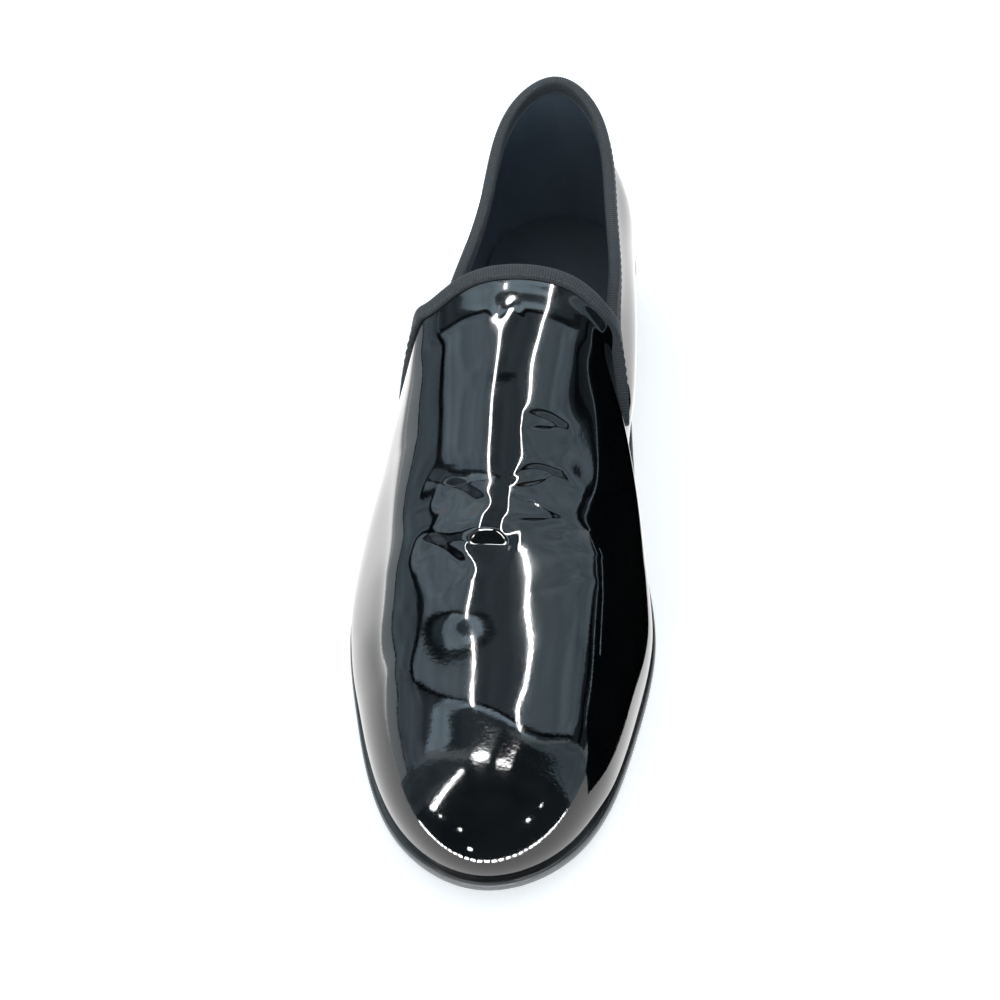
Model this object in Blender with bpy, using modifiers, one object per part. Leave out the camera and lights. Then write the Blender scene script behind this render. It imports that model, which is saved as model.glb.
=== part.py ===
"""Patent leather slip-on loafer, right shoe, toe towards -Y and inner side towards +X.

The upper is a wall lofted round the last: every section of the table is one line that
climbs from the feather edge, where upper and sole meet, to the crown of the last.
"""
import bmesh
import bpy
import numpy as np

# Driving sizes in metres
LENGTH = 0.292
BALL_WIDTH = 0.1023
INSTEP_HEIGHT = 0.091
HEEL_HEIGHT = 0.018
TOE_SPRING = 0.009
SOLE_THICKNESS = 0.004
SOLE_LEDGE = 0.002
SOLE_EDGE_ROUND = 0.0006
UPPER_WALL = 0.0018
INSOLE_THICKNESS = 0.003
INSOLE_CLEARANCE = 0.0008
BINDING_THICKNESS = 0.0007
BINDING_WIDTH = 0.0038
BINDING_CLEARANCE = 0.0004
CLEARANCE = 0.0003

# Places along the sole, as shares of its length from the middle, heel positive
BALL_FRONT = -0.245
BALL_BACK = -0.095
SEAT_FRONT = 0.28
HEEL_BREAST = 0.24
HEEL_INSET = 0.0008
HEEL_TAPER = 0.955

# Sections of the last, round the shoe from the heel over the outer side to the toe and back.
# across: percent of ball width; along: percent of length; up, bulge, rise and drop: percent of
# instep height. bulge and rise lean the wall at the feather edge, reach (percent of the way to
# the feather edge) and drop lean it at the crown, and trim (percent) is where the topline cuts.
COLUMNS = (
    "across", "along", "crown_across", "crown_along", "crown_up",
    "bulge", "rise", "reach", "drop", "trim",
)
SECTIONS = {
    "heel_back":           (4.9, 49.8, 4.9, 48.6, 96.2, 3.8, 33.0, 0, 22.0, 100),
    "heel_corner_outer":   (-16.6, 46.2, -9.8, 44.9, 91.2, 4.9, 35.2, 10, 19.8, 100),
    "heel_outer":          (-26.4, 35.6, -16.6, 31.5, 78.6, 7.7, 37.4, 15, 15.4, 100),
    "waist_outer":         (-30.3, 17.8, -23.5, 17.8, 68.7, 6.6, 28.6, 25, 15.4, 100),
    "notch_outer":         (-45.2, -5.5, -26.8, 13.5, 73.6, 1.1, 13.2, 52, 28.6, 64),
    "ball_outer":          (-49.9, -15.1, -30.3, 11.0, 79.1, 3.3, 15.4, 40, 33.0, 91),
    "fore_outer":          (-41.3, -29.5, -26.9, 10.8, 86.8, 3.8, 26.4, 40, 41.8, 97),
    "toe_corner_outer":    (-19.6, -45.4, -13.2, 11.3, 95.6, 3.8, 37.4, 42, 52.7, 99),
    "toe":                 (7.8, -50.0, 4.9, 11.5, 100.0, 3.3, 41.8, 42, 58.2, 99),
    "toe_corner_inner":    (31.9, -45.0, 20.5, 11.1, 95.6, 3.8, 37.4, 42, 52.7, 99),
    "fore_inner":          (46.2, -30.1, 31.8, 10.6, 85.7, 3.8, 28.6, 40, 41.8, 97),
    "ball_inner":          (50.1, -18.5, 33.7, 11.3, 78.0, 2.7, 19.8, 40, 33.0, 91),
    "notch_inner":         (45.0, -6.8, 30.5, 13.7, 73.1, 2.2, 17.6, 48, 26.4, 64),
    "waist_inner":         (36.7, 16.4, 32.3, 18.8, 68.7, 11.5, 22.0, 25, 16.5, 100),
    "heel_inner":          (35.2, 34.9, 28.8, 31.2, 78.6, 7.9, 30.8, 15, 17.6, 100),
    "heel_corner_inner":   (26.4, 46.2, 19.6, 44.9, 91.2, 4.9, 35.2, 10, 19.8, 100),
}
UNITS = {
    "across": BALL_WIDTH, "along": LENGTH, "crown_across": BALL_WIDTH, "crown_along": LENGTH,
    "crown_up": INSTEP_HEIGHT, "bulge": INSTEP_HEIGHT, "rise": INSTEP_HEIGHT, "reach": 1.0,
    "drop": INSTEP_HEIGHT, "trim": 1.0,
}

# Mesh fineness: steps between sections, rows up the wall, strips along the sole
STEPS_PER_SECTION = 6
WALL_ROWS = 14
SOLE_STRIPS = 40
RING_SAMPLES = 2000
SMALL_STEP = 0.00005
SMALL_SHARE = 0.001
NOTCH_ROUNDING = 0.0035
NOTCH_SAMPLES = 9
NOTCH_PLACES = (-0.006, -0.0035, -0.0018, -0.0006, 0.0006, 0.0018, 0.0035, 0.006)
NOTCH_REACH = 0.0078
BINDING_END_GAP = 0.0003
FOLD_ANGLES = (40.0, 90.0, 140.0)
SMOOTH_ANGLE = 40.0
SOLE_EDGE_ANGLE = 60.0

# Colours of the finishes: base colour, roughness
FINISHES = {
    "outsole": ((0.012, 0.012, 0.013, 1.0), 0.45),
    "heel": ((0.010, 0.010, 0.011, 1.0), 0.5),
    "insole": ((0.008, 0.010, 0.018, 1.0), 0.6),
    "upper": ((0.006, 0.006, 0.007, 1.0), 0.08),
    "tongue_binding": ((0.008, 0.008, 0.010, 1.0), 0.8),
    "collar_binding": ((0.008, 0.008, 0.010, 1.0), 0.8),
}


def spline_bends(values, steps, closed):
    """Second derivatives of the smooth cubic through values a step apart."""
    count = len(values)
    matrix = np.eye(count)
    right = np.zeros(count)
    for i in range(0 if closed else 1, count if closed else count - 1):
        before, after = steps[i - 1], steps[i]
        matrix[i] = 0.0
        matrix[i, i - 1] += before
        matrix[i, i] += 2.0 * (before + after)
        matrix[i, (i + 1) % count] += after
        rise_after = (values[(i + 1) % count] - values[i]) / after
        rise_before = (values[i] - values[i - 1]) / before
        right[i] = 6.0 * (rise_after - rise_before)
    return np.linalg.solve(matrix, right)


def spline_at(values, bends, knots, place):
    """Value of the cubic at each place; a closed one has one more knot than values."""
    low = np.clip(np.searchsorted(knots, place, side="right") - 1, 0, len(knots) - 2)
    high = (low + 1) % len(values)
    step = knots[low + 1] - knots[low]
    b = (place - knots[low]) / step
    a = 1.0 - b
    curve = (a**3 - a) * bends[low] + (b**3 - b) * bends[high]
    return a * values[low] + b * values[high] + curve * step**2 / 6.0


def ease(t):
    """Smooth step from 0 to 1."""
    t = np.clip(t, 0.0, 1.0)
    return t * t * (3.0 - 2.0 * t)


def sole_underside(y):
    """Height of the sole's underside: flat at the ball, toe spring ahead, rise to the seat."""
    ahead = np.clip((BALL_FRONT * LENGTH - y) / ((BALL_FRONT + 0.5) * LENGTH), 0.0, None)
    behind = ease((y / LENGTH - BALL_BACK) / (SEAT_FRONT - BALL_BACK))
    return TOE_SPRING * ahead**2 + HEEL_HEIGHT * behind


def sole_top(y):
    return sole_underside(y) + SOLE_THICKNESS


def insole_base(y):
    return sole_top(y) + CLEARANCE


def insole_top(y):
    return insole_base(y) + INSOLE_THICKNESS


def heel_base(y):
    return 0.0 * y


def heel_top(y):
    return sole_underside(y) - CLEARANCE


class Last:
    """The last as a surface over u, metres round the shoe, and v, from feather edge to crown."""

    def __init__(self):
        rows = np.array(list(SECTIONS.values())) / 100.0
        self.table = {name: rows[:, i] * UNITS[name] for i, name in enumerate(COLUMNS)}
        feather = np.stack([self.table["across"], self.table["along"]], axis=1)
        crown = np.stack([self.table[name] for name in COLUMNS[2:5]], axis=1)
        feather_steps = np.linalg.norm(np.roll(feather, -1, axis=0) - feather, axis=1)
        crown_steps = np.linalg.norm(np.roll(crown, -1, axis=0) - crown, axis=1)
        self.steps = (feather_steps + crown_steps) / 2.0
        self.knots = np.concatenate([[0.0], np.cumsum(self.steps)])
        self.girth = self.knots[-1]
        self.bends = {name: spline_bends(self.table[name], self.steps, True) for name in COLUMNS[:-1]}
        names = list(SECTIONS)
        self.outer_notch = names.index("notch_outer")
        self.inner_notch = names.index("notch_inner")
        ring = np.linspace(0.0, self.girth, RING_SAMPLES)
        edges = [self.column(name, ring) for name in ("across", "along")]
        self.middle = [(edge.min() + edge.max()) / 2.0 for edge in edges]
        self.topline_arcs = [self.arc(self.outer_notch, self.inner_notch),
                             self.arc(self.inner_notch, self.outer_notch + len(names))]

    def column(self, name, u):
        return spline_at(self.table[name], self.bends[name], self.knots, np.mod(u, self.girth))

    def arc(self, first, last):
        """Spline of the trim column between two notches, where the topline has its corners."""
        count = len(SECTIONS)
        index = np.arange(first, last + 1)
        places = self.knots[index % count] + self.girth * (index >= count)
        values = self.table["trim"][index % count]
        return places, values, spline_bends(values, np.diff(places), False)

    def sharp_trim(self, u):
        front, back = self.topline_arcs
        around = np.mod(u - front[0][0], self.girth) + front[0][0]
        at_front = spline_at(front[1], front[2], front[0], around)
        at_back = spline_at(back[1], back[2], back[0], around)
        return np.where(around <= front[0][-1], at_front, at_back)

    def trim(self, u):
        """Share of the wall kept below the topline, with the notches' points rounded."""
        window = np.linspace(-NOTCH_ROUNDING, NOTCH_ROUNDING, NOTCH_SAMPLES)
        return np.mean([self.sharp_trim(u + offset) for offset in window], axis=0)

    def outline(self, u, inset=0.0):
        """Sole outline in plan, moved in by inset, with its outward direction."""
        ahead, behind = u + SMALL_STEP, u - SMALL_STEP
        dx = self.column("across", ahead) - self.column("across", behind)
        dy = self.column("along", ahead) - self.column("along", behind)
        run = np.hypot(dx, dy)
        out_x, out_y = dy / run, -dx / run
        x = self.column("across", u) - self.middle[0] - inset * out_x
        y = self.column("along", u) - self.middle[1] - inset * out_y
        return x, y, out_x, out_y

    def surface(self, u, v):
        """Points of the last's outside, a cubic from feather edge to crown at each u."""
        fx, fy, out_x, out_y = self.outline(u, SOLE_LEDGE)
        fz = sole_top(fy) + CLEARANCE
        cx = self.column("crown_across", u) - self.middle[0]
        cy = self.column("crown_along", u) - self.middle[1]
        cz = self.column("crown_up", u)
        bulge, rise = self.column("bulge", u), self.column("rise", u)
        reach, drop = self.column("reach", u), self.column("drop", u)
        feather = np.stack([fx, fy, fz], axis=-1)
        low = np.stack([fx + bulge * out_x, fy + bulge * out_y, fz + rise], axis=-1)
        high = np.stack([cx + reach * (fx - cx), cy + reach * (fy - cy), cz - drop], axis=-1)
        crown = np.stack([cx, cy, cz], axis=-1)
        v = np.asarray(v)[..., None]
        w = 1.0 - v
        return w**3 * feather + 3 * w**2 * v * low + 3 * w * v**2 * high + v**3 * crown

    def slopes(self, u, v):
        """How fast the surface runs with u and with v."""
        across = self.surface(u + SMALL_STEP, v) - self.surface(u - SMALL_STEP, v)
        up = self.surface(u, v + SMALL_SHARE) - self.surface(u, v - SMALL_SHARE)
        return across / (2 * SMALL_STEP), up / (2 * SMALL_SHARE)

    def normal(self, u, v):
        across, up = self.slopes(u, v)
        return unit(np.cross(across, up))

    def walk(self, u, v, heading, distance):
        """Move a short way over the surface along heading."""
        across, up = self.slopes(u, v)
        aa, bb = np.sum(across**2, -1), np.sum(up**2, -1)
        ab = np.sum(across * up, -1)
        ha, hb = np.sum(heading * across, -1), np.sum(heading * up, -1)
        det = aa * bb - ab**2
        return u + distance * (ha * bb - hb * ab) / det, v + distance * (hb * aa - ha * ab) / det


def unit(vectors):
    return vectors / np.linalg.norm(vectors, axis=-1, keepdims=True)


def ring_places(last):
    """Places round the shoe: even steps in every section, closer ones at the two notches."""
    even = np.arange(STEPS_PER_SECTION) / STEPS_PER_SECTION
    places = [knot + even * step for knot, step in zip(last.knots, last.steps)]
    places = np.concatenate(places)
    for notch in (last.outer_notch, last.inner_notch):
        offsets = last.knots[notch] + np.array(NOTCH_PLACES)
        places = places[np.abs(places - last.knots[notch]) > NOTCH_REACH]
        places = np.concatenate([places, offsets])
    return np.sort(places)


def make_finish(name):
    colour, roughness = FINISHES[name]
    finish = bpy.data.materials.new(name)
    finish.use_nodes = True
    shader = finish.node_tree.nodes["Principled BSDF"]
    shader.inputs["Base Color"].default_value = colour
    shader.inputs["Roughness"].default_value = roughness
    shader.inputs["Metallic"].default_value = 0.0
    return finish


def add_part(name, work, collection):
    """Turn a bmesh into a named, finished object of the shoe."""
    mesh = bpy.data.meshes.new(name)
    work.to_mesh(mesh)
    work.free()
    mesh.materials.append(make_finish(name))
    mesh.shade_smooth()
    mesh.set_sharp_from_angle(angle=np.radians(SMOOTH_ANGLE))
    part = bpy.data.objects.new(name, mesh)
    collection.objects.link(part)
    return part


def skin(work, points, loop_round=False, loop_up=False):
    """Quads over a grid of points; points[i][j] runs round with i and up with j."""
    verts = [[work.verts.new(point) for point in row] for row in points]
    rounds, ups = len(verts), len(verts[0])
    for i in range(rounds if loop_round else rounds - 1):
        here, there = verts[i], verts[(i + 1) % rounds]
        for j in range(ups if loop_up else ups - 1):
            k = (j + 1) % ups
            work.faces.new((here[j], there[j], there[k], here[k]))
    return verts


def make_upper(last, collection):
    """The wall of the upper, open below and at the topline, thickened inwards."""
    places = ring_places(last)
    share = np.linspace(0.0, 1.0, WALL_ROWS)
    u = np.repeat(places[:, None], WALL_ROWS, axis=1)
    v = last.trim(places)[:, None] * share[None, :]
    work = bmesh.new()
    skin(work, last.surface(u, v), loop_round=True)
    upper = add_part("upper", work, collection)
    wall = upper.modifiers.new("wall", "SOLIDIFY")
    wall.thickness = UPPER_WALL
    wall.offset = -1.0
    wall.use_even_offset = True
    return upper


def binding_sections(last, u):
    """Loop of points of the folded ribbon round the wall's edge, for each u."""
    v = last.trim(u)
    edge = last.surface(u, v)
    out = last.normal(u, v)
    ahead = last.surface(u + SMALL_STEP, last.trim(u + SMALL_STEP))
    behind = last.surface(u - SMALL_STEP, last.trim(u - SMALL_STEP))
    up = unit(np.cross(out, unit(ahead - behind)))
    legs = [(edge, out)]
    down = -up
    for step in (BINDING_WIDTH / 2.0, BINDING_WIDTH / 2.0):
        u, v = last.walk(u, v, down, step)
        normal = last.normal(u, v)
        down = unit(down - np.sum(down * normal, -1)[..., None] * normal)
        legs.append((last.surface(u, v), normal))
    near = BINDING_CLEARANCE
    far = near + BINDING_THICKNESS
    inside = UPPER_WALL + near
    deep = UPPER_WALL + far
    middle = edge - out * UPPER_WALL / 2.0
    half = UPPER_WALL / 2.0 + far
    loop = [point + normal * far for point, normal in reversed(legs)]
    loop += [middle + out * half * np.cos(a) + up * far * np.sin(a) for a in np.radians(FOLD_ANGLES)]
    loop += [point - normal * deep for point, normal in legs]
    loop += [point - normal * inside for point, normal in reversed(legs[1:])]
    loop += [edge - out * inside + up * near, edge + out * near + up * near]
    loop += [point + normal * near for point, normal in legs[1:]]
    return np.stack(loop, axis=1)


def make_binding(last, name, first, length, collection):
    """A ribbon folded over the topline from one notch to the other."""
    places = ring_places(last)
    offset = np.mod(places - first, last.girth)
    within = (offset > 2 * BINDING_END_GAP) & (offset < length - 2 * BINDING_END_GAP)
    inner = np.sort(offset[within])
    u = first + np.concatenate([[BINDING_END_GAP], inner, [length - BINDING_END_GAP]])
    work = bmesh.new()
    verts = skin(work, binding_sections(last, u), loop_up=True)
    for end in (verts[0], verts[-1]):
        work.faces.new(end)
    bmesh.ops.recalc_face_normals(work, faces=work.faces[:])
    return add_part(name, work, collection)


def make_slab(name, outline, underside, top, collection, taper=1.0):
    """A flat outline cut into strips, bent to an underside and a top that vary along Y."""
    work = bmesh.new()
    work.faces.new([work.verts.new((x, y, 0.0)) for x, y in outline])
    for y in np.linspace(-LENGTH / 2.0, LENGTH / 2.0, SOLE_STRIPS + 1)[1:-1]:
        everything = work.verts[:] + work.edges[:] + work.faces[:]
        bmesh.ops.bisect_plane(work, geom=everything, plane_co=(0.0, y, 0.0), plane_no=(0.0, 1.0, 0.0))
    grown = bmesh.ops.extrude_face_region(work, geom=work.faces[:], use_keep_orig=True)["geom"]
    raised = {item for item in grown if isinstance(item, bmesh.types.BMVert)}
    centre = np.mean(outline, axis=0)
    for vert in work.verts:
        if vert in raised:
            vert.co.z = top(vert.co.y)
        else:
            vert.co.z = underside(vert.co.y)
            vert.co.x = centre[0] + taper * (vert.co.x - centre[0])
            vert.co.y = centre[1] + taper * (vert.co.y - centre[1])
    bmesh.ops.recalc_face_normals(work, faces=work.faces[:])
    return add_part(name, work, collection)


def make_outsole(last, collection):
    x, y, _, _ = last.outline(ring_places(last))
    outsole = make_slab("outsole", np.stack([x, y], axis=1), sole_underside, sole_top, collection)
    edge = outsole.modifiers.new("edge", "BEVEL")
    edge.width = SOLE_EDGE_ROUND
    edge.segments = 1
    edge.limit_method = "ANGLE"
    edge.angle_limit = np.radians(SOLE_EDGE_ANGLE)
    return outsole


def make_heel(last, collection):
    x, y, _, _ = last.outline(ring_places(last), HEEL_INSET)
    outline = np.stack([x, y], axis=1)
    breast = HEEL_BREAST * LENGTH
    behind = outline[y > breast]
    order = np.argsort(np.arctan2(behind[:, 1] - breast, behind[:, 0] - behind[:, 0].mean()))
    behind = behind[order]
    corners = np.array([[behind[-1][0], breast], [behind[0][0], breast]])
    outline = np.concatenate([behind, corners])
    return make_slab("heel", outline, heel_base, heel_top, collection, HEEL_TAPER)


def make_insole(last, collection):
    x, y, _, _ = last.outline(ring_places(last), SOLE_LEDGE + UPPER_WALL + INSOLE_CLEARANCE)
    return make_slab("insole", np.stack([x, y], axis=1), insole_base, insole_top, collection)


def main():
    for old in list(bpy.data.objects):
        bpy.data.objects.remove(old, do_unlink=True)
    collection = bpy.data.collections.new("patent_loafer")
    bpy.context.scene.collection.children.link(collection)
    last = Last()
    make_outsole(last, collection)
    make_heel(last, collection)
    make_insole(last, collection)
    make_upper(last, collection)
    outer, inner = last.knots[last.outer_notch], last.knots[last.inner_notch]
    make_binding(last, "tongue_binding", outer, inner - outer, collection)
    make_binding(last, "collar_binding", inner, last.girth - (inner - outer), collection)


main()
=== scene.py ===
"""Looks of the patent leather slip-on: creased upper, ribbons, lining, sole, heel and a light tent."""

import bmesh
import bpy
import numpy as np
from mathutils import Matrix, Vector


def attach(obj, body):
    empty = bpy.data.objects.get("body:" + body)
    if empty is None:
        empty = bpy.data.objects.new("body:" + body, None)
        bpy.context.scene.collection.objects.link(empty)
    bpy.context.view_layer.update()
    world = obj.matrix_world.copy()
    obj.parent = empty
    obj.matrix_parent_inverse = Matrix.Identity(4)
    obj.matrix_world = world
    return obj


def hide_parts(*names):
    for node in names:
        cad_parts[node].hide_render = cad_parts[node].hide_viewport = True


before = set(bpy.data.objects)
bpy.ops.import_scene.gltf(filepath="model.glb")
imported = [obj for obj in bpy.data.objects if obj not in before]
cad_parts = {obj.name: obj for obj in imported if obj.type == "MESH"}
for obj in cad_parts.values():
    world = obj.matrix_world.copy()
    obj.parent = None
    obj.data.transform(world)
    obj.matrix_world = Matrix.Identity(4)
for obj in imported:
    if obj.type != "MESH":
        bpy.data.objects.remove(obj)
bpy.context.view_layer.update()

MM = 0.001

# Driving sizes in metres, the same as the solids'
LENGTH = 0.292
BALL_WIDTH = 0.1023
INSTEP_HEIGHT = 0.091
HEEL_HEIGHT = 0.018
TOE_SPRING = 0.009
SOLE_THICKNESS = 0.004
SOLE_LEDGE = 0.002
UPPER_WALL = 0.0018
INSOLE_THICKNESS = 0.003
INSOLE_CLEARANCE = 0.0008
BINDING_THICKNESS = 0.0007
BINDING_WIDTH = 0.0038
BINDING_CLEARANCE = 0.0004
BINDING_END_GAP = 0.0003
CLEARANCE = 0.0003

# Places along the sole, as shares of its length from the middle, heel positive
BALL_FRONT = -0.245
BALL_BACK = -0.095
SEAT_FRONT = 0.28
HEEL_BREAST = 0.24

# Heel block: how far it stands in from the sole's edge, and the share of its outline left at the base
HEEL_INSET = 0.0008
HEEL_TAPER = 0.955

# Sections of the last, round the shoe from the heel over the outer side to the toe and back.
# across: percent of ball width; along: percent of length; up, bulge, rise and drop: percent of
# instep height. bulge and rise lean the wall at the feather edge, reach (percent of the way to
# the feather edge) and drop lean it at the crown, and trim (percent) is where the topline cuts.
COLUMNS = (
    "across", "along", "crown_across", "crown_along", "crown_up",
    "bulge", "rise", "reach", "drop", "trim",
)
SECTIONS = {
    "heel_back": (4.9, 49.8, 4.9, 48.6, 96.2, 3.8, 33.0, 0, 22.0, 100),
    "heel_corner_outer": (-16.6, 46.2, -9.8, 44.9, 91.2, 4.9, 35.2, 10, 19.8, 100),
    "heel_outer": (-26.4, 35.6, -16.6, 31.5, 78.6, 7.7, 37.4, 15, 15.4, 100),
    "waist_outer": (-30.3, 17.8, -23.5, 17.8, 68.7, 6.6, 28.6, 25, 15.4, 100),
    "notch_outer": (-45.2, -5.5, -26.8, 13.5, 73.6, 1.1, 13.2, 52, 28.6, 64),
    "ball_outer": (-49.9, -15.1, -30.3, 11.0, 79.1, 3.3, 15.4, 40, 33.0, 91),
    "fore_outer": (-41.3, -29.5, -26.9, 10.8, 86.8, 3.8, 26.4, 40, 41.8, 97),
    "toe_corner_outer": (-19.6, -45.4, -13.2, 11.3, 95.6, 3.8, 37.4, 42, 52.7, 99),
    "toe": (7.8, -50.0, 4.9, 11.5, 100.0, 3.3, 41.8, 42, 58.2, 99),
    "toe_corner_inner": (31.9, -45.0, 20.5, 11.1, 95.6, 3.8, 37.4, 42, 52.7, 99),
    "fore_inner": (46.2, -30.1, 31.8, 10.6, 85.7, 3.8, 28.6, 40, 41.8, 97),
    "ball_inner": (50.1, -18.5, 33.7, 11.3, 78.0, 2.7, 19.8, 40, 33.0, 91),
    "notch_inner": (45.0, -6.8, 30.5, 13.7, 73.1, 2.2, 17.6, 48, 26.4, 64),
    "waist_inner": (36.7, 16.4, 32.3, 18.8, 68.7, 11.5, 22.0, 25, 16.5, 100),
    "heel_inner": (35.2, 34.9, 28.8, 31.2, 78.6, 7.9, 30.8, 15, 17.6, 100),
    "heel_corner_inner": (26.4, 46.2, 19.6, 44.9, 91.2, 4.9, 35.2, 10, 19.8, 100),
}
UNITS = {
    "across": BALL_WIDTH, "along": LENGTH, "crown_across": BALL_WIDTH, "crown_along": LENGTH,
    "crown_up": INSTEP_HEIGHT, "bulge": INSTEP_HEIGHT, "rise": INSTEP_HEIGHT, "reach": 1.0,
    "drop": INSTEP_HEIGHT, "trim": 1.0,
}

# Samples along curves, small steps for slopes, and the rounding of the notches' points
RING_SAMPLES = 2000
SMALL_STEP = 0.00005
SMALL_SHARE = 0.001
NOTCH_ROUNDING = 0.0035
NOTCH_SAMPLES = 9

# Broad forms of the worn vamp in millimetres: points (across, along) of the line that each follows,
# height (hollows are negative) and half width
FORMS = {
    "instep_ridge": (((-1.5, 0), (-1.5, -15), (-1.5, -40), (-3, -58), (-5, -69)), 1.8, 11.0),
    "tongue_trough": (((-25, 13.5), (-16, 18), (-4, 19.5), (8, 19.5), (18, 17.5), (27, 13.5)), -0.25, 3.4),
    "inner_hollow": (((36, 16), (32, 2), (30, -12), (30, -25), (33, -37)), -2.8, 8.0),
    "inner_swell": (((39, -45), (42, -56), (43, -75), (42, -95), (38, -108)), 1.2, 8.5),
    "outer_hollow": (((-30, -14), (-28, -20), (-26, -30)), -0.7, 8.0),
    "outer_dent": (((-20, -33), (-21.5, -38)), -0.8, 5.5),
    "outer_swell": (((-31, -57), (-32, -70)), 0.8, 8.0),
    "outer_bump": (((-6.5, -77), (-5, -78)), 0.25, 3.2),
    "eye_brow": (((-1, -50), (2, -50.2)), 1.2, 3.4),
    "toe_break": (((-24, -91), (-14, -98.5), (-4, -103), (8, -105.5), (22, -111), (34, -105)), 0.38, 4.0),
}
# Creases of the vamp in the same units: a line from the outer side to the inner one, depth, and how
# far the leather bends behind the line and ahead of it. Each fades out at both ends of its line.
CREASES = {
    "tongue_dent": (((-6, 17.5), (-3, 17.5), (-0.5, 18), (1, 20.5), (4, 23)), 0.36, 2.0, 5.0),
    "outer_top": (((-22, -30), (-18, -32), (-13, -33.7), (-7.8, -34.2), (8, -34)), 0.75, 4.0, 8.0),
    "eye": (((-6, -55.5), (-2, -54.8), (2, -54.6), (5.5, -55), (9, -56)), 1.70, 4.2, 4.5),
    "inner_first": (((8, -12.5), (11.7, -12.3), (17.6, -12.8), (25, -15.5)), 0.62, 1.4, 8.0),
    "inner_second": (((8, -17), (10.9, -16.6), (15.1, -16), (24, -12)), 0.58, 1.4, 8.0),
    "leaf_back": (((4, -33.5), (7.8, -32.3), (11.3, -29.8), (18.9, -29.2), (29, -32.5)), 0.70, 1.4, 9.0),
    "leaf_front": (((5, -36.6), (8.9, -35.9), (14.4, -33.9), (19, -30.5), (23, -27)), 0.90, 1.5, 12.0),
    "fold_back": (((6, -39.4), (10, -40.0), (15, -41.3), (20.5, -43.2), (25, -45.0)), 0.62, 1.4, 12.0),
    "fold_front": (((5, -47), (10.2, -46.6), (15.9, -45.5), (20.2, -44), (26, -41.5)), 0.68, 1.4, 9.0),
    "ray_back": (((14, -49.2), (24, -46.5), (36, -42.0)), 0.35, 1.6, 2.5),
    "ray_middle": (((14, -52.6), (26, -52.5), (37, -50.8)), 0.35, 1.6, 2.5),
    "ray_front": (((16, -68.2), (25, -64.0), (34, -59.5)), 0.35, 1.6, 2.5),
}
# Folds of the vamp: as the creases, but the leather behind each line lies flat over a width
FOLDS = {
    "outer_facet": (((-17, -32), (-12, -34.8), (-8, -37.4), (-4, -40.6), (0, -44.5)), 1.05, 3.0, 9.0),
    "outer_middle": (((-24, -49), (-19, -51), (-11, -53.2), (-5, -53.6), (-1, -53.5)), 0.42, 3.4, 8.0),
    "outer_low": (((-22, -49.5), (-16, -53.2), (-9.4, -58.5), (-5, -63), (-2.5, -66.5)), 0.62, 3.0, 8.0),
}
# How a fold fades at the ends of its line, and how softly it bends, as shares of its length and width
FOLD_ENDS = 0.32
FOLD_BEND = 0.1
# Rounding of a crease's bottom, its greatest reach and the fade of that reach, in millimetres
CREASE_TIP = 0.3
CREASE_SPAN = 14.0
CREASE_SPAN_FADE = 9.0
LINE_PIECES = 40
# Waves of the leather: length and height in millimetres, and the share of them outside the flexing part
WAVES = ((62.0, 0.22), (34.0, 0.09), (17.0, 0.03))
WAVES_PER_LENGTH = 9
WAVES_SEED = 11
WAVES_LEAST = 0.25
# Where the vamp flexes, along the shoe in metres
FLEX_FRONT = -0.118
FLEX_BACK = 0.05
FLEX_FADE = 0.05


def spline_bends(values, steps, closed):
    """Second derivatives of the smooth cubic through values a step apart."""
    count = len(values)
    matrix = np.eye(count)
    right = np.zeros(count)
    for i in range(0 if closed else 1, count if closed else count - 1):
        before, after = steps[i - 1], steps[i]
        matrix[i] = 0.0
        matrix[i, i - 1] += before
        matrix[i, i] += 2.0 * (before + after)
        matrix[i, (i + 1) % count] += after
        rise_after = (values[(i + 1) % count] - values[i]) / after
        rise_before = (values[i] - values[i - 1]) / before
        right[i] = 6.0 * (rise_after - rise_before)
    return np.linalg.solve(matrix, right)


def spline_at(values, bends, knots, place):
    """Value of the cubic at each place; a closed one has one more knot than values."""
    low = np.clip(np.searchsorted(knots, place, side="right") - 1, 0, len(knots) - 2)
    high = (low + 1) % len(values)
    step = knots[low + 1] - knots[low]
    b = (place - knots[low]) / step
    a = 1.0 - b
    curve = (a**3 - a) * bends[low] + (b**3 - b) * bends[high]
    return a * values[low] + b * values[high] + curve * step**2 / 6.0


def ease(t):
    """Smooth step from 0 to 1."""
    t = np.clip(t, 0.0, 1.0)
    return t * t * (3.0 - 2.0 * t)


def unit(vectors):
    return vectors / np.linalg.norm(vectors, axis=-1, keepdims=True)


def sole_underside(y):
    """Height of the sole's underside: flat at the ball, toe spring ahead, rise to the seat."""
    ahead = np.clip((BALL_FRONT * LENGTH - y) / ((BALL_FRONT + 0.5) * LENGTH), 0.0, None)
    behind = ease((y / LENGTH - BALL_BACK) / (SEAT_FRONT - BALL_BACK))
    return TOE_SPRING * ahead**2 + HEEL_HEIGHT * behind


def sole_top(y):
    return sole_underside(y) + SOLE_THICKNESS


def insole_base(y):
    return sole_top(y) + CLEARANCE


def insole_top(y):
    return insole_base(y) + INSOLE_THICKNESS


def heel_base(y):
    return 0.0 * y


def heel_top(y):
    return sole_underside(y) - CLEARANCE


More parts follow.
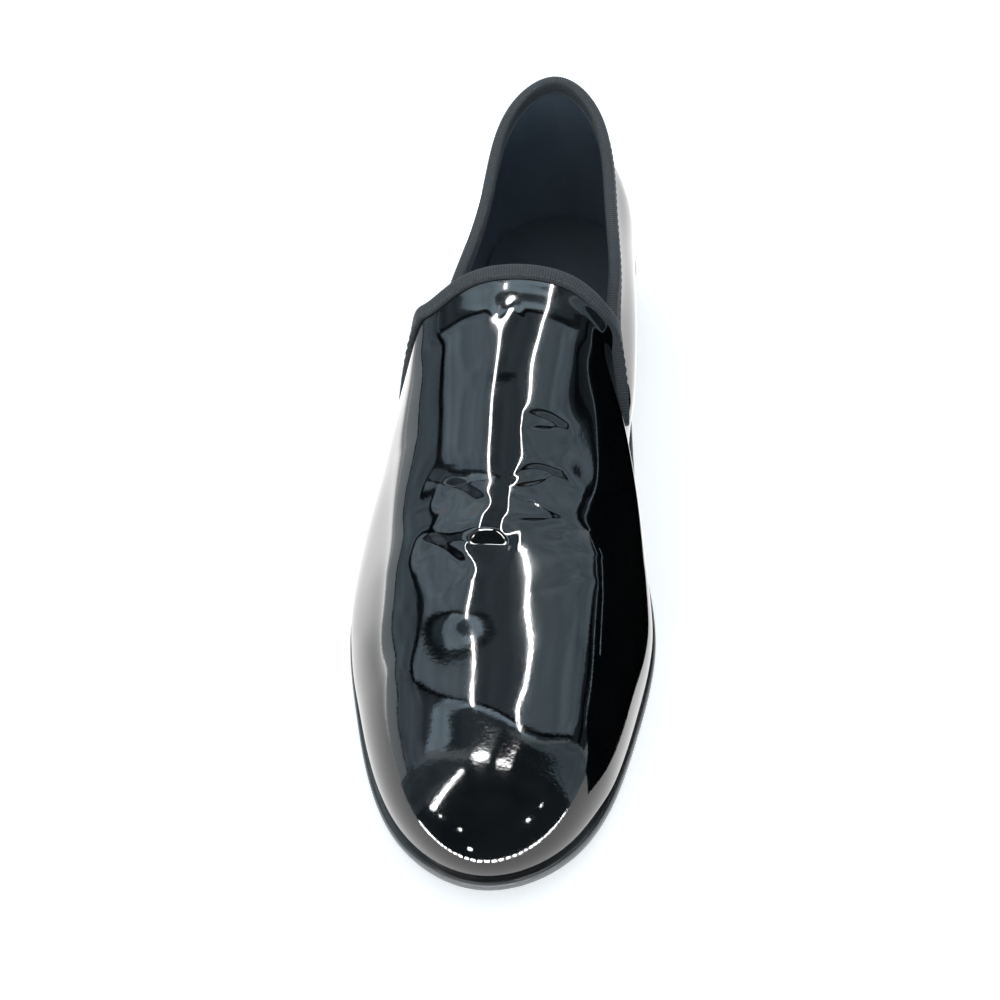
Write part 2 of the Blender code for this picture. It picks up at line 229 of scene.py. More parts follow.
class Last:
    """The last as a surface over u, metres round the shoe, and v, from feather edge to crown."""

    def __init__(self):
        rows = np.array(list(SECTIONS.values())) / 100.0
        self.table = {name: rows[:, i] * UNITS[name] for i, name in enumerate(COLUMNS)}
        feather = np.stack([self.table["across"], self.table["along"]], axis=1)
        crown = np.stack([self.table[name] for name in COLUMNS[2:5]], axis=1)
        feather_steps = np.linalg.norm(np.roll(feather, -1, axis=0) - feather, axis=1)
        crown_steps = np.linalg.norm(np.roll(crown, -1, axis=0) - crown, axis=1)
        self.steps = (feather_steps + crown_steps) / 2.0
        self.knots = np.concatenate([[0.0], np.cumsum(self.steps)])
        self.girth = self.knots[-1]
        self.bends = {name: spline_bends(self.table[name], self.steps, True) for name in COLUMNS[:-1]}
        names = list(SECTIONS)
        outer, inner = names.index("notch_outer"), names.index("notch_inner")
        self.outer_notch, self.inner_notch = self.knots[outer], self.knots[inner]
        ring = np.linspace(0.0, self.girth, RING_SAMPLES)
        edges = [self.column(name, ring) for name in ("across", "along")]
        self.middle = [(edge.min() + edge.max()) / 2.0 for edge in edges]
        self.topline_arcs = [self.arc(outer, inner), self.arc(inner, outer + len(names))]

    def column(self, name, u):
        return spline_at(self.table[name], self.bends[name], self.knots, np.mod(u, self.girth))

    def arc(self, first, last):
        """Spline of the trim column between two notches, where the topline has its corners."""
        count = len(SECTIONS)
        index = np.arange(first, last + 1)
        places = self.knots[index % count] + self.girth * (index >= count)
        values = self.table["trim"][index % count]
        return places, values, spline_bends(values, np.diff(places), False)

    def sharp_trim(self, u):
        front, back = self.topline_arcs
        around = np.mod(u - front[0][0], self.girth) + front[0][0]
        at_front = spline_at(front[1], front[2], front[0], around)
        at_back = spline_at(back[1], back[2], back[0], around)
        return np.where(around <= front[0][-1], at_front, at_back)

    def trim(self, u):
        """Share of the wall kept below the topline, with the notches' points rounded."""
        window = np.linspace(-NOTCH_ROUNDING, NOTCH_ROUNDING, NOTCH_SAMPLES)
        return np.mean([self.sharp_trim(u + offset) for offset in window], axis=0)

    def outline(self, u, inset=0.0):
        """Sole outline in plan, moved in by inset, with its outward direction."""
        ahead, behind = u + SMALL_STEP, u - SMALL_STEP
        dx = self.column("across", ahead) - self.column("across", behind)
        dy = self.column("along", ahead) - self.column("along", behind)
        run = np.hypot(dx, dy)
        out_x, out_y = dy / run, -dx / run
        x = self.column("across", u) - self.middle[0] - inset * out_x
        y = self.column("along", u) - self.middle[1] - inset * out_y
        return x, y, out_x, out_y

    def surface(self, u, v):
        """Points of the last's outside, a cubic from feather edge to crown at each u."""
        fx, fy, out_x, out_y = self.outline(u, SOLE_LEDGE)
        fz = sole_top(fy) + CLEARANCE
        cx = self.column("crown_across", u) - self.middle[0]
        cy = self.column("crown_along", u) - self.middle[1]
        cz = self.column("crown_up", u)
        bulge, rise = self.column("bulge", u), self.column("rise", u)
        reach, drop = self.column("reach", u), self.column("drop", u)
        feather = np.stack([fx, fy, fz], axis=-1)
        low = np.stack([fx + bulge * out_x, fy + bulge * out_y, fz + rise], axis=-1)
        high = np.stack([cx + reach * (fx - cx), cy + reach * (fy - cy), cz - drop], axis=-1)
        crown = np.stack([cx, cy, cz], axis=-1)
        v = np.asarray(v)[..., None]
        w = 1.0 - v
        return w**3 * feather + 3 * w**2 * v * low + 3 * w * v**2 * high + v**3 * crown

    def slopes(self, u, v):
        """How fast the surface runs with u and with v."""
        across = self.surface(u + SMALL_STEP, v) - self.surface(u - SMALL_STEP, v)
        up = self.surface(u, v + SMALL_SHARE) - self.surface(u, v - SMALL_SHARE)
        return across / (2 * SMALL_STEP), up / (2 * SMALL_SHARE)

    def normal(self, u, v):
        across, up = self.slopes(u, v)
        return unit(np.cross(across, up))

    def walk(self, u, v, heading, distance):
        """Move a short way over the surface along heading."""
        across, up = self.slopes(u, v)
        aa, bb = np.sum(across**2, -1), np.sum(up**2, -1)
        ab = np.sum(across * up, -1)
        ha, hb = np.sum(heading * across, -1), np.sum(heading * up, -1)
        det = aa * bb - ab**2
        return u + distance * (ha * bb - hb * ab) / det, v + distance * (hb * aa - ha * ab) / det


# Mesh fineness: columns of the vamp, of the quarters and beside the seams, rows of the outside and inside
VAMP_COLUMNS = 215
QUARTER_COLUMNS = 46
SEAM_COLUMNS = np.array([-2.6, -1.7, -1.0, -0.5, 0.0, 0.5, 1.0, 1.7, 2.6]) * MM
OUTSIDE_ROWS = 330
BACK_ROWS = 24
SOLE_COLUMNS = 360
SOLE_STRIPS = 90
# Rows lie closer together about one place up the vamp
ROW_CROWDING = 2.2
ROW_CROWDING_MIDDLE = 0.66
ROW_CROWDING_SPREAD = 0.22
ROW_CROWDING_SAMPLES = 400
# Inner layers of the wall: they follow forms from a half width on, and hang slack where the vamp flexes
LEATHER_THICKNESS = 0.0015
LAYER_GAP = 0.00005
BACK_NARROWEST = 5.0
BACK_SLACK = 0.00045
# The leather is smooth below the topline over these distances, and over a share of the wall at its foot
EDGE_FADE = (0.0035, 0.009)
FOOT_FADE = 0.06
FOOT_SINK = 0.0002
FOOT_DROP = np.array([0.0, 0.0, CLEARANCE + FOOT_SINK])
SEAM_DEPTH = 0.00045
SEAM_HALF_WIDTH = 0.0008
# Ribs of the ribbon, and the steps round its fold and down its legs
RIB_PITCH = 0.0009
RIB_HEIGHT = 0.00022
RIB_BLUNTNESS = 0.7
RIB_LEVEL = 0.6
RIB_SAMPLES = 5
FOLD_STEPS = 7
LEG_STEPS = 4
# Stitches: rise of their middle and dip of their ends are shares of the thread's radius
STITCH_LENGTH = 0.0021
STITCH_PITCH = 0.0029
STITCH_RADIUS = 0.00019
STITCH_INSET = 0.0010
STITCH_RISE = 1.2
STITCH_DIP = 0.4
STITCH_SIDES = 6
STITCH_RINGS = 6
# Rounded edges of the slabs; an edge sharper than the angle counts as one
EDGE_ROUNDING = 0.0006
SOLE_ROUNDING = 0.0013
ROUNDING_SEGMENTS = 3
SHARP_ANGLE = np.radians(50.0)


def smooth_line(line):
    """Points in metres along the smooth curve through given points."""
    corners = np.array(line) * MM
    steps = np.linalg.norm(np.diff(corners, axis=0), axis=1)
    knots = np.concatenate([[0.0], np.cumsum(steps)])
    at = np.linspace(0.0, knots[-1], LINE_PIECES + 1)
    curves = [(values, spline_bends(values, steps, False)) for values in corners.T]
    return np.stack([spline_at(values, bends, knots, at) for values, bends in curves], axis=1)


def distance_to_line(points, line):
    """Distance in plan from points to a line, the share along it, and which points lie to its left."""
    nearest = np.full(points.shape[:-1], np.inf)
    share = np.zeros(points.shape[:-1])
    left = np.zeros(points.shape[:-1], bool)
    corners = smooth_line(line)
    runs = np.linalg.norm(np.diff(corners, axis=0), axis=1)
    starts = np.concatenate([[0.0], np.cumsum(runs)]) / runs.sum()
    for i, run in enumerate(runs):
        step = (corners[i + 1] - corners[i]) / run
        offset = points[..., :2] - corners[i]
        along = np.clip(offset @ step, 0.0, run)
        gap = np.linalg.norm(offset - along[..., None] * step, axis=-1)
        closer = gap < nearest
        nearest = np.where(closer, gap, nearest)
        share = np.where(closer, starts[i] + along / runs.sum(), share)
        left = np.where(closer, step[0] * offset[..., 1] > step[1] * offset[..., 0], left)
    return nearest, share, left


def form_relief(points, narrowest=0.0):
    """Height of the forms over the smooth last; narrowest is the least half width that counts."""
    height = np.zeros(points.shape[:-1])
    for line, rise, half_width in FORMS.values():
        if half_width < narrowest:
            continue
        gap, _, _ = distance_to_line(points, line)
        height += rise * MM * np.exp(-0.5 * (gap / (half_width * MM)) ** 2)
    return height


def flex_share(points):
    """How much the leather bends: most between toe puff and tongue."""
    along = points[..., 1]
    return ease((along - FLEX_FRONT) / FLEX_FADE) * ease((FLEX_BACK - along) / FLEX_FADE)


def crease_frame(points, line):
    """Share along a crease, rounded distance from it in millimetres, points behind it, and its reach."""
    gap, share, left = distance_to_line(points, line)
    gap = gap / MM
    reach = ease((CREASE_SPAN - gap) / CREASE_SPAN_FADE)
    return share, np.hypot(gap, CREASE_TIP) - CREASE_TIP, left, reach


def crease_relief(points):
    """Height of the listed creases and folds: leather that bends down into each line."""
    height = np.zeros(points.shape[:-1])
    for line, depth, behind, ahead in CREASES.values():
        share, gap, left, reach = crease_frame(points, line)
        strength = np.sin(np.pi * share) * reach
        height -= depth * MM * strength * np.exp(-gap / np.where(left, behind, ahead))
    for line, depth, width, ahead in FOLDS.values():
        share, gap, left, reach = crease_frame(points, line)
        strength = ease(share / FOLD_ENDS) * ease((1.0 - share) / FOLD_ENDS) * reach
        flat = FOLD_BEND * np.logaddexp(0.0, (1.0 - gap / width) / FOLD_BEND)
        height -= depth * MM * strength * np.where(left, flat, np.exp(-gap / ahead))
    return height


def wave_relief(points):
    """Soft waves of the leather, strongest where the vamp flexes."""
    chance = np.random.default_rng(WAVES_SEED)
    height = np.zeros(points.shape[:-1])
    for length, rise in WAVES:
        for _ in range(WAVES_PER_LENGTH):
            heading = unit(chance.normal(size=3))
            phase = chance.uniform(0.0, 2.0 * np.pi)
            height += np.sin(points @ heading * 2.0 * np.pi / (length * MM) + phase) * rise * MM
    height /= np.sqrt(WAVES_PER_LENGTH)
    return height * (WAVES_LEAST + (1.0 - WAVES_LEAST) * flex_share(points))


def seam_relief(last, u, span):
    """Grooves of the two side seams and the back seam; span is metres round per unit of u."""
    height = np.zeros(np.broadcast(u, span).shape)
    for place in (last.outer_notch, last.inner_notch, 0.0):
        gap = np.abs(np.mod(u - place + last.girth / 2.0, last.girth) - last.girth / 2.0) * span
        height -= SEAM_DEPTH * np.exp(-0.5 * (gap / SEAM_HALF_WIDTH) ** 2)
    return height


def crowded(count):
    """Shares from 0 to 1, closer together where the vamp creases."""
    fine = np.linspace(0.0, 1.0, ROW_CROWDING_SAMPLES)
    offset = (fine - ROW_CROWDING_MIDDLE) / ROW_CROWDING_SPREAD
    density = 1.0 + ROW_CROWDING * np.exp(-(offset**2))
    total = np.concatenate([[0.0], np.cumsum((density[1:] + density[:-1]) / 2.0)])
    return np.interp(np.linspace(0.0, total[-1], count), total, fine)


def round_places(last):
    """Places round the shoe: closer on the vamp than on the quarters, closest beside the seams."""
    vamp = np.linspace(last.outer_notch, last.inner_notch, VAMP_COLUMNS, endpoint=False)
    end = last.outer_notch + last.girth
    quarters = np.linspace(last.inner_notch, end, QUARTER_COLUMNS, endpoint=False)
    places = np.concatenate([vamp, quarters])
    seams = np.array([last.outer_notch, last.inner_notch, last.girth, end])
    clear = np.abs(places[:, None] - seams).min(axis=1) > SEAM_COLUMNS[-1] + SEAM_HALF_WIDTH
    beside = (seams[:3, None] + SEAM_COLUMNS).ravel()
    return np.sort(np.concatenate([places[clear], beside]))


def calmness(last, u, v):
    """Share of the relief that is kept: none where the ribbon lies and at the feather edge."""
    _, up = last.slopes(u, v)
    below_edge = (last.trim(u[:, 0])[:, None] - v) * np.linalg.norm(up, axis=-1)
    near, far = EDGE_FADE
    return ease((below_edge - near) / (far - near)) * ease(v / FOOT_FADE)


def dressed_surface(last, u, v):
    """The upper's outside with forms, creases, waves and seams."""
    points = last.surface(u, v)
    across, _ = last.slopes(u, v)
    relief = form_relief(points) + crease_relief(points) + wave_relief(points)
    relief *= calmness(last, u, v)
    relief += seam_relief(last, u, np.linalg.norm(across, axis=-1)) * ease(v / FOOT_FADE)
    return points + last.normal(u, v) * relief[..., None]


def wall_layer(last, places, depth):
    """Grid of points inside the upper's wall, depth below its outside."""
    u = np.repeat(places[:, None], BACK_ROWS, axis=1)
    v = last.trim(places)[:, None] * np.linspace(0.0, 1.0, BACK_ROWS)[None, :]
    points = last.surface(u, v)
    relief = form_relief(points, BACK_NARROWEST) - BACK_SLACK * flex_share(points)
    return points + last.normal(u, v) * (relief * calmness(last, u, v) - depth)[..., None]


def grid_mesh(name, points, loop_round=False, loop_up=False):
    """Quads over a grid of points that runs round with its first index and up with its second."""
    rounds, ups = points.shape[:2]
    index = np.arange(rounds * ups).reshape(rounds, ups)
    i = np.arange(rounds if loop_round else rounds - 1)
    j = np.arange(ups if loop_up else ups - 1)
    here, there = index[i], index[(i + 1) % rounds]
    above = (j + 1) % ups
    faces = np.stack([here[:, j], there[:, j], there[:, above], here[:, above]], axis=-1)
    mesh = bpy.data.meshes.new(name)
    mesh.from_pydata(points.reshape(-1, 3).tolist(), [], faces.reshape(-1, 4).tolist())
    mesh.shade_smooth()
    return mesh


def fill_mesh(mesh, work):
    """Move what was worked on into a smooth mesh."""
    work.to_mesh(mesh)
    work.free()
    mesh.shade_smooth()


def add_object(name, data):
    made = bpy.data.objects.new(name, data)
    bpy.context.scene.collection.objects.link(made)
    return made


def add_piece(name, mesh, finish, node=None):
    """Link a mesh as a piece of the shoe; node is the solid that it stands for."""
    mesh.materials.clear()
    mesh.materials.append(finish)
    piece = add_object(name, mesh)
    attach(piece, "root")
    if node:
        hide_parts(node)


def wall_mesh(name, face, back):
    """Closed mesh of one layer of the wall, from its face over the topline to its back."""
    back = back[:, ::-1]
    rows = [face[:, :1] - FOOT_DROP, face, back, back[:, -1:] - FOOT_DROP]
    return grid_mesh(name, np.concatenate(rows, axis=1), loop_round=True, loop_up=True)


def make_upper(last, finish):
    """The upper's leather: its dressed outside, the turned topline and a plain back."""
    places = round_places(last)
    u = np.repeat(places[:, None], OUTSIDE_ROWS, axis=1)
    v = last.trim(places)[:, None] * crowded(OUTSIDE_ROWS)[None, :]
    back = wall_layer(last, places, LEATHER_THICKNESS)
    mesh = wall_mesh("patent_upper", dressed_surface(last, u, v), back)
    add_piece("patent_upper", mesh, finish, "upper")


def make_lining(last, finish):
    """Lining inside the upper, down to the sole."""
    places = round_places(last)[::2][::-1]
    back = wall_layer(last, places, LEATHER_THICKNESS + LAYER_GAP)
    mesh = wall_mesh("lining", wall_layer(last, places, UPPER_WALL), back)
    add_piece("lining", mesh, finish)


def even_places(last, first, length, pitch):
    """Places along the topline, evenly spaced over its real length, and that length at each."""
    u = first + np.linspace(BINDING_END_GAP, length - BINDING_END_GAP, RING_SAMPLES)
    edge = last.surface(u, last.trim(u))
    run = np.concatenate([[0.0], np.cumsum(np.linalg.norm(np.diff(edge, axis=0), axis=1))])
    at = np.linspace(0.0, run[-1], int(run[-1] / pitch) + 1)
    return np.interp(at, run, u), at


def ribbon_frame(last, u):
    """Edge, outward and upward directions of the topline, and the legs' feet below it."""
    v = last.trim(u)
    edge = last.surface(u, v)
    out = last.normal(u, v)
    ahead = last.surface(u + SMALL_STEP, last.trim(u + SMALL_STEP))
    behind = last.surface(u - SMALL_STEP, last.trim(u - SMALL_STEP))
    up = unit(np.cross(out, unit(ahead - behind)))
    legs = [(edge, out)]
    down = -up
    for _ in range(LEG_STEPS):
        u, v = last.walk(u, v, down, BINDING_WIDTH / LEG_STEPS)
        normal = last.normal(u, v)
        down = unit(down - np.sum(down * normal, -1)[..., None] * normal)
        legs.append((last.surface(u, v), normal))
    return edge, out, up, legs


def make_ribbon(last, name, first, length, finish, node):
    """Ribbed ribbon folded over the topline from one notch to the other."""
    u, run = even_places(last, first, length, RIB_PITCH / RIB_SAMPLES)
    edge, out, up, legs = ribbon_frame(last, u)
    swell = np.abs(np.sin(np.pi * run / RIB_PITCH)) ** RIB_BLUNTNESS
    rib = RIB_HEIGHT * (swell - RIB_LEVEL)[:, None]
    near = BINDING_CLEARANCE
    far = near + BINDING_THICKNESS
    middle = edge - out * UPPER_WALL / 2.0
    half = UPPER_WALL / 2.0 + far
    loop = [legs[-1][0] + legs[-1][1] * near]
    loop += [point + normal * (far + rib) for point, normal in reversed(legs)]
    for angle in np.linspace(0.0, np.pi, FOLD_STEPS + 2)[1:-1]:
        loop.append(middle + out * (half + rib) * np.cos(angle) + up * (far + rib) * np.sin(angle))
    loop += [point - normal * (UPPER_WALL + far + rib) for point, normal in legs]
    loop.append(legs[-1][0] - legs[-1][1] * (UPPER_WALL + near))
    mesh = grid_mesh(name, np.stack(loop, axis=1)[::-1], loop_up=True)
    # The rib's swell, which the ribbon's shader turns into painted shade between the ribs
    paint = mesh.attributes.new("rib", "FLOAT", "POINT")
    paint.data.foreach_set("value", np.repeat(swell[::-1], len(loop)).astype(np.float32))
    work = bmesh.new()
    work.from_mesh(mesh)
    bmesh.ops.holes_fill(work, edges=[edge for edge in work.edges if edge.is_boundary])
    bmesh.ops.recalc_face_normals(work, faces=work.faces[:])
    fill_mesh(mesh, work)
    add_piece(name, mesh, finish, node)


def stitch_tube(start, end, out):
    """Grid of one stitch: a round thread that dips into the ribbon at both ends."""
    along = unit(end - start)
    side = unit(np.cross(along, out))
    rings = []
    for t in np.linspace(0.0, 1.0, STITCH_RINGS):
        lift = STITCH_RADIUS * (np.sin(np.pi * t) * STITCH_RISE - STITCH_DIP)
        centre = start + (end - start) * t + out * lift
        angles = np.linspace(0.0, 2.0 * np.pi, STITCH_SIDES, endpoint=False)
        ring = np.cos(angles)[:, None] * side + np.sin(angles)[:, None] * out
        rings.append(centre + ring * STITCH_RADIUS)
    return np.array(rings)


def make_stitches(last, finish):
    """Row of stitches along the lower edge of both ribbons, as one mesh."""
    tubes = []
    arcs = ((last.outer_notch, last.inner_notch - last.outer_notch),
            (last.inner_notch, last.girth - last.inner_notch + last.outer_notch))
    for first, length in arcs:
        u, _ = even_places(last, first, length, STITCH_PITCH)
        share = STITCH_LENGTH / STITCH_PITCH
        starts, ends = u[1:-2], u[1:-2] + (u[2:-1] - u[1:-2]) * share
        rows = []
        for place in (starts, ends):
            _, _, _, legs = ribbon_frame(last, place)
            (low, low_out), (high, _) = legs[-1], legs[-2]
            lift = BINDING_CLEARANCE + BINDING_THICKNESS
            rows.append((low + unit(high - low) * STITCH_INSET + low_out * lift, low_out))
        for (start, out), (end, _) in zip(zip(*rows[0]), zip(*rows[1])):
            tubes.append(stitch_tube(start, end, out))
    work = bmesh.new()
    for tube in tubes:
        mesh = grid_mesh("stitch", tube, loop_up=True)
        work.from_mesh(mesh)
        bpy.data.meshes.remove(mesh)
    mesh = bpy.data.meshes.new("ribbon_stitches")
    fill_mesh(mesh, work)
    add_piece("ribbon_stitches", mesh, finish)


def slab_mesh(name, outline, underside, top, taper=1.0, rounding=EDGE_ROUNDING):
    """A flat outline, cut into strips and bent between two heights; "height" runs 0 to 1 up its edge."""
    work = bmesh.new()
    height = work.verts.layers.float.new("height")
    work.faces.new([work.verts.new((x, y, 0.0)) for x, y in outline])
    for y in np.linspace(-LENGTH / 2.0, LENGTH / 2.0, SOLE_STRIPS + 1)[1:-1]:
        everything = work.verts[:] + work.edges[:] + work.faces[:]
        bmesh.ops.bisect_plane(work, geom=everything, plane_co=(0.0, y, 0.0), plane_no=(0.0, 1.0, 0.0))
    grown = bmesh.ops.extrude_face_region(work, geom=work.faces[:], use_keep_orig=True)["geom"]
    raised = {item for item in grown if isinstance(item, bmesh.types.BMVert)}
    centre = np.mean(outline, axis=0)
    for vert in work.verts:
        if vert in raised:
            vert.co.z = top(vert.co.y)
            vert[height] = 1.0
        else:
            vert.co.z = underside(vert.co.y)
            vert.co.x = centre[0] + taper * (vert.co.x - centre[0])
            vert.co.y = centre[1] + taper * (vert.co.y - centre[1])
    bmesh.ops.recalc_face_normals(work, faces=work.faces[:])
    rim = [edge for edge in work.edges if edge.calc_face_angle(0.0) > SHARP_ANGLE]
    rim = [edge for edge in rim if abs(edge.verts[0].co.z - edge.verts[1].co.z) < rounding]
    bmesh.ops.bevel(
        work, geom=rim, offset=rounding, segments=ROUNDING_SEGMENTS, profile=0.5, affect="EDGES")
    mesh = bpy.data.meshes.new(name)
    fill_mesh(mesh, work)
    mesh.set_sharp_from_angle(angle=SHARP_ANGLE)
    return mesh


def outline_points(last, inset):
    x, y, _, _ = last.outline(np.linspace(0.0, last.girth, SOLE_COLUMNS, endpoint=False), inset)
    return np.stack([x, y], axis=1)


def make_sole(last, finish):
    outline = outline_points(last, 0.0)
    mesh = slab_mesh("sole", outline, sole_underside, sole_top, rounding=SOLE_ROUNDING)
    add_piece("sole", mesh, finish, "outsole")


def make_heel(last, finish):
    outline = outline_points(last, HEEL_INSET)
    breast = HEEL_BREAST * LENGTH
    behind = outline[outline[:, 1] > breast]
    order = np.argsort(np.arctan2(behind[:, 1] - breast, behind[:, 0] - behind[:, 0].mean()))
    behind = behind[order]
    corners = np.array([[behind[-1][0], breast], [behind[0][0], breast]])
    outline = np.concatenate([behind, corners])
    mesh = slab_mesh("heel_block", outline, heel_base, heel_top, HEEL_TAPER)
    add_piece("heel_block", mesh, finish, "heel")


def make_sock(last, finish):
    inset = SOLE_LEDGE + UPPER_WALL + INSOLE_CLEARANCE
    mesh = slab_mesh("sock", outline_points(last, inset), insole_base, insole_top)
    add_piece("sock", mesh, finish, "insole")


# Finishes: plain sockets of each shader, dark and light colours, and noises by scale, detail and roughness
NOISE_RANGE = (0.3, 0.7)
PATENT_COLOURS = ((0.0008, 0.0010, 0.0014), (0.0018, 0.0021, 0.0027))
PATENT_CLOUDS = (60.0, 4.0)
PATENT_SHADER = {"IOR": 1.5, "Coat_Weight": 1.0, "Coat_Roughness": 0.018, "Coat_IOR": 1.5}
PATENT_HAZE = (38.0, 5.0, 0.65)
PATENT_HAZE_RANGE = (0.35, 0.7)
PATENT_HAZE_ROUGHNESS = (0.05, 0.14)
# Layers of the lacquer's skin: noise scale, detail and height in metres; full at the toe, faint behind it
PATENT_SKIN = ((900.0, 3.0, 0.000014), (260.0, 1.0, 0.000005), (2200.0, 0.0, 0.000004))
PATENT_SKIN_FADE = (-0.05, -0.10)
PATENT_SKIN_LEAST = 0.3
LINING_COLOURS = ((0.050, 0.072, 0.100), (0.075, 0.105, 0.140))
# The sock's colours: the lining leather made darker, as painted shade deep in the shoe
SOCK_SHADED_COLOURS = ((0.022, 0.032, 0.046), (0.036, 0.050, 0.070))
LINING_CLOUDS = (55.0, 4.0)
LINING_SHADER = {"IOR": 1.45}
LINING_RUB = (24.0, 4.0)
LINING_ROUGHNESS = (0.5, 0.68)
LINING_GRAIN_SCALE = 1300.0
LINING_GRAIN_HEIGHT = 0.00005
RIBBON_COLOURS = ((0.004, 0.006, 0.008), (0.040, 0.053, 0.066))
RIBBON_SHADER = {"Sheen_Weight": 0.25, "Sheen_Roughness": 0.4}
# Swell of the rib below which the ribbon's colour is darkest: painted shade in the grooves between the
# ribs
RIBBON_GROOVE_SHADE = 0.25
RIBBON_THREAD = (1900.0, 2.0)
RIBBON_THREAD_RANGE = (0.35, 0.65)
RIBBON_THREAD_LEAST = 0.35
RIBBON_THREAD_HEIGHT = 0.00012
RIBBON_ROUGHNESS = (0.65, 0.85)
STITCH_COLOURS = ((0.010, 0.013, 0.016), (0.045, 0.055, 0.066))
STITCH_STRAND = (5200.0, 1.0)
STITCH_STRAND_HEIGHT = 0.00004
STITCH_ROUGHNESS = (0.4, 0.6)
WAX_COLOURS = ((0.007, 0.007, 0.008), (0.018, 0.018, 0.019))
WAX_SHADER = {"IOR": 1.48, "Coat_Weight": 0.35, "Coat_Roughness": 0.2}
WAX_GRAIN = (420.0, 5.0, 0.6)
WAX_GRAIN_HEIGHT = 0.00007
WAX_RUB = (75.0, 4.0)
WAX_ROUGHNESS = (0.3, 0.5)
WAX_LINE_DEPTH = 0.00012
# Share of an edge's height where its side tone begins, and where it is full
WAX_SIDE_RANGE = (0.99, 0.94)
# Edges of sole and heel: count and width of the level lines between layers, and the tone of the side. The
# sole's light grey side is painted light, the lit face of its black edge
SOLE_EDGE_WITH_PAINTED_LIGHT = (1, 0.12, (0.11, 0.115, 0.12))
HEEL_EDGE = (4, 0.06, (0.012, 0.012, 0.013))


def add_node(tree, kind, sockets=None, **settings):
    """New shader node with its settings and sockets; a socket takes a value or another socket."""
    made = tree.nodes.new(kind)
    for name, value in settings.items():
        setattr(made, name, value)
    for name, value in (sockets or {}).items():
        if isinstance(value, bpy.types.NodeSocket):
            tree.links.new(value, made.inputs[name])
        else:
            made.inputs[name].default_value = value
    return made


def new_finish(name, **values):
    """Material with a Principled shader; values go straight on its sockets."""
    finish = bpy.data.materials.new(name)
    finish.use_nodes = True
    tree = finish.node_tree
    shader = tree.nodes["Principled BSDF"]
    for socket, value in values.items():
        shader.inputs[socket.replace("_", " ")].default_value = value
    return finish, tree, shader


def place_on(tree):
    return add_node(tree, "ShaderNodeTexCoord").outputs["Object"]


def directions(tree):
    """Place across, along and up the shoe."""
    return add_node(tree, "ShaderNodeSeparateXYZ", {"Vector": place_on(tree)}).outputs


def noise(tree, scale, detail=2.0, roughness=0.5):
    sockets = {"Vector": place_on(tree), "Scale": scale, "Detail": detail, "Roughness": roughness}
    return add_node(tree, "ShaderNodeTexNoise", sockets).outputs["Fac"]


def mapped(tree, value, low, high, to_low, to_high):
    sockets = {"Value": value, "From Min": low, "From Max": high, "To Min": to_low, "To Max": to_high}
    return add_node(tree, "ShaderNodeMapRange", sockets).outputs["Result"]


def product(tree, first, second):
    return add_node(tree, "ShaderNodeMath", {0: first, 1: second}, operation="MULTIPLY").outputs[0]


def shaded(tree, value, dark, light):
    """Colour between dark and light, by a value from 0 to 1."""
    ramp = add_node(tree, "ShaderNodeValToRGB", {"Fac": value})
    ramp.color_ramp.elements[0].color = (*dark, 1.0)
    ramp.color_ramp.elements[1].color = (*light, 1.0)
    return ramp.outputs["Color"]


def bump(tree, height, distance, under=None, strength=1.0):
    sockets = {"Height": height, "Strength": strength, "Distance": distance}
    if under:
        sockets["Normal"] = under
    return add_node(tree, "ShaderNodeBump", sockets).outputs["Normal"]


def join(tree, shader, **values):
    """Link worked-out values to the shader's sockets."""
    for socket, value in values.items():
        tree.links.new(value, shader.inputs[socket.replace("_", " ")])


def patent_finish():
    """Black lacquered leather: mirror coat with a fine skin, faint rubbed haze below it."""
    finish, tree, shader = new_finish("patent_leather", **PATENT_SHADER)
    near_toe = mapped(tree, directions(tree)["Y"], *PATENT_SKIN_FADE, PATENT_SKIN_LEAST, 1.0)
    skin = None
    for scale, detail, height in PATENT_SKIN:
        skin = bump(tree, noise(tree, scale, detail), height, skin, near_toe)
    haze = mapped(tree, noise(tree, *PATENT_HAZE), *PATENT_HAZE_RANGE, *PATENT_HAZE_ROUGHNESS)
    join(
        tree, shader,
        Base_Color=shaded(tree, noise(tree, *PATENT_CLOUDS), *PATENT_COLOURS),
        Roughness=haze,
        Normal=skin,
        Coat_Normal=skin)
    return finish


def lining_finish(name, colours):
    """Smooth dark blue-black leather with a fine grain."""
    finish, tree, shader = new_finish(name, **LINING_SHADER)
    sockets = {"Vector": place_on(tree), "Scale": LINING_GRAIN_SCALE}
    cells = add_node(tree, "ShaderNodeTexVoronoi", sockets)
    rub = noise(tree, *LINING_RUB)
    join(
        tree, shader,
        Base_Color=shaded(tree, noise(tree, *LINING_CLOUDS), *colours),
        Roughness=mapped(tree, rub, *NOISE_RANGE, *LINING_ROUGHNESS),
        Normal=bump(tree, cells.outputs["Distance"], LINING_GRAIN_HEIGHT))
    return finish


def ribbon_finish():
    """Ribbed black ribbon: matt thread with a faint sheen, and painted shade between the ribs."""
    finish, tree, shader = new_finish("ribbon", **RIBBON_SHADER)
    rib = add_node(tree, "ShaderNodeAttribute", attribute_name="rib").outputs["Fac"]
    thread = noise(tree, *RIBBON_THREAD)
    # Painted shade: the colour darkens in the grooves between the ribs
    painted_groove_shade = mapped(tree, rib, RIBBON_GROOVE_SHADE, 1.0, 0.0, 1.0)
    on_thread = mapped(tree, thread, *RIBBON_THREAD_RANGE, RIBBON_THREAD_LEAST, 1.0)
    join(
        tree, shader,
        Base_Color=shaded(tree, product(tree, painted_groove_shade, on_thread), *RIBBON_COLOURS),
        Roughness=mapped(tree, thread, *NOISE_RANGE, *RIBBON_ROUGHNESS),
        Normal=bump(tree, thread, RIBBON_THREAD_HEIGHT))
    return finish


